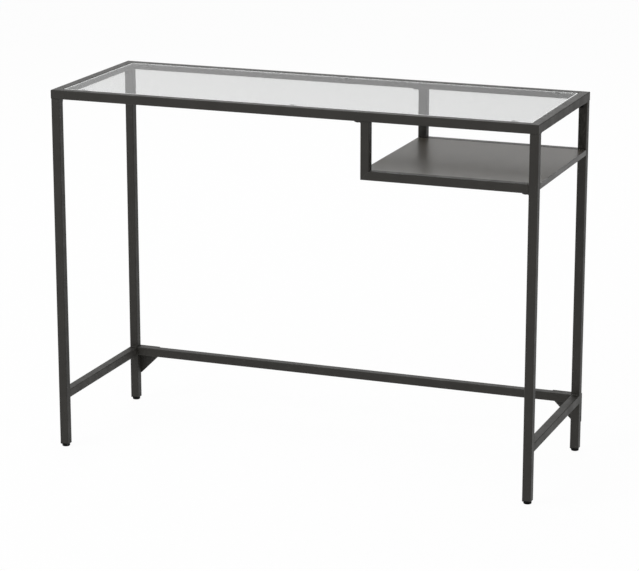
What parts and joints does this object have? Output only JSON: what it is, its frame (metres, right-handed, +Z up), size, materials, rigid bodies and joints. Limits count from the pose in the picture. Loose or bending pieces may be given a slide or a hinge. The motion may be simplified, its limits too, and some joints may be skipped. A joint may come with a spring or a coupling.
{
  "type": "laptop desk",
  "caption": "Slim laptop desk: square steel tube frame, loose glass top, open laptop shelf under it at the right, low stretchers and levelling feet.",
  "frame": {"origin": "on the floor under the middle of the footprint, gusset plates and their screw heads included", "axes": "+X to the right as the sitter faces the desk, where the shelf is; +Y to the back; +Z up"},
  "size_m": [1, 0.364, 0.74],
  "materials": {
    "frame_steel": "semi-gloss dark powder coat",
    "glass": "clear toughened glass with ground edges",
    "clear_bumper": "clear soft plastic",
    "shelf_foil": "fibreboard with a dark semi-gloss foil",
    "edge_band": "dark edge band",
    "screw_steel": "black coated steel",
    "nut_steel": "zinc plated steel",
    "stud_steel": "zinc plated steel",
    "foot_plastic": "black plastic"
  },
  "bodies": {
    "root": {"back_left_foot_insert": "foot_plastic", "back_left_leg": "frame_steel", "back_right_foot_insert": "foot_plastic", "back_right_leg": "frame_steel", "back_stretcher": "frame_steel", "front_left_foot_insert": "foot_plastic", "front_left_leg": "frame_steel", "front_right_foot_insert": "foot_plastic", "front_right_leg": "frame_steel", "glass_bumpers": "clear_bumper", "glass_rest_tabs": "frame_steel", "gusset_nuts": "nut_steel", "gusset_screws": "screw_steel", "left_gusset_plate": "frame_steel", "left_side_stretcher": "frame_steel", "leg_top_nuts": "nut_steel", "leg_top_screws": "screw_steel", "leg_top_tabs": "frame_steel", "post_top_nuts": "nut_steel", "post_top_screws": "screw_steel", "post_top_tabs": "frame_steel", "right_gusset_plate": "frame_steel", "right_side_stretcher": "frame_steel", "shelf_back_post": "frame_steel", "shelf_back_rail": "frame_steel", "shelf_board": "shelf_foil", "shelf_end_nuts": "nut_steel", "shelf_end_screws": "screw_steel", "shelf_end_tabs": "frame_steel", "shelf_front_post": "frame_steel", "shelf_front_rail": "frame_steel", "shelf_left_edge_band": "edge_band", "shelf_rest_tabs": "frame_steel", "shelf_right_edge_band": "edge_band", "shelf_screws": "screw_steel", "top_back_rail": "frame_steel", "top_front_rail": "frame_steel", "top_left_rail": "frame_steel", "top_right_rail": "frame_steel"},
    "glass": {"glass_top": "glass"},
    "front_left_pad": {"front_left_foot_pad": "foot_plastic"},
    "front_left_stud": {"front_left_foot_stud": "stud_steel"},
    "back_left_pad": {"back_left_foot_pad": "foot_plastic"},
    "back_left_stud": {"back_left_foot_stud": "stud_steel"},
    "front_right_pad": {"front_right_foot_pad": "foot_plastic"},
    "front_right_stud": {"front_right_foot_stud": "stud_steel"},
    "back_right_pad": {"back_right_foot_pad": "foot_plastic"},
    "back_right_stud": {"back_right_foot_stud": "stud_steel"}
  },
  "joints": [
    {"name": "glass_lift", "type": "slide", "parent": "root", "child": "glass", "axis": [0, 0, 1], "range_m": [0, 0.15]},
    {"name": "front_left_foot_drop", "type": "slide", "parent": "root", "child": "front_left_pad", "axis": [0, 0, -1], "range_m": [0, 0.008]},
    {"name": "front_left_foot_turn", "type": "hinge", "parent": "front_left_pad", "child": "front_left_stud", "pos_m": [-0.491, -0.17297, 0], "axis": [0, 0, -1], "range_deg": [0, 2880]},
    {"name": "back_left_foot_drop", "type": "slide", "parent": "root", "child": "back_left_pad", "axis": [0, 0, -1], "range_m": [0, 0.008]},
    {"name": "back_left_foot_turn", "type": "hinge", "parent": "back_left_pad", "child": "back_left_stud", "pos_m": [-0.491, 0.16903, 0], "axis": [0, 0, -1], "range_deg": [0, 2880]},
    {"name": "front_right_foot_drop", "type": "slide", "parent": "root", "child": "front_right_pad", "axis": [0, 0, -1], "range_m": [0, 0.008]},
    {"name": "front_right_foot_turn", "type": "hinge", "parent": "front_right_pad", "child": "front_right_stud", "pos_m": [0.491, -0.17297, 0], "axis": [0, 0, -1], "range_deg": [0, 2880]},
    {"name": "back_right_foot_drop", "type": "slide", "parent": "root", "child": "back_right_pad", "axis": [0, 0, -1], "range_m": [0, 0.008]},
    {"name": "back_right_foot_turn", "type": "hinge", "parent": "back_right_pad", "child": "back_right_stud", "pos_m": [0.491, 0.16903, 0], "axis": [0, 0, -1], "range_deg": [0, 2880]}
  ],
  "couplings": [
    {"joint": "front_left_foot_turn", "follows": "front_left_foot_drop", "rad_per_m": 6283.2},
    {"joint": "back_left_foot_turn", "follows": "back_left_foot_drop", "rad_per_m": 6283.2},
    {"joint": "front_right_foot_turn", "follows": "front_right_foot_drop", "rad_per_m": 6283.2},
    {"joint": "back_right_foot_turn", "follows": "back_right_foot_drop", "rad_per_m": 6283.2}
  ]
}
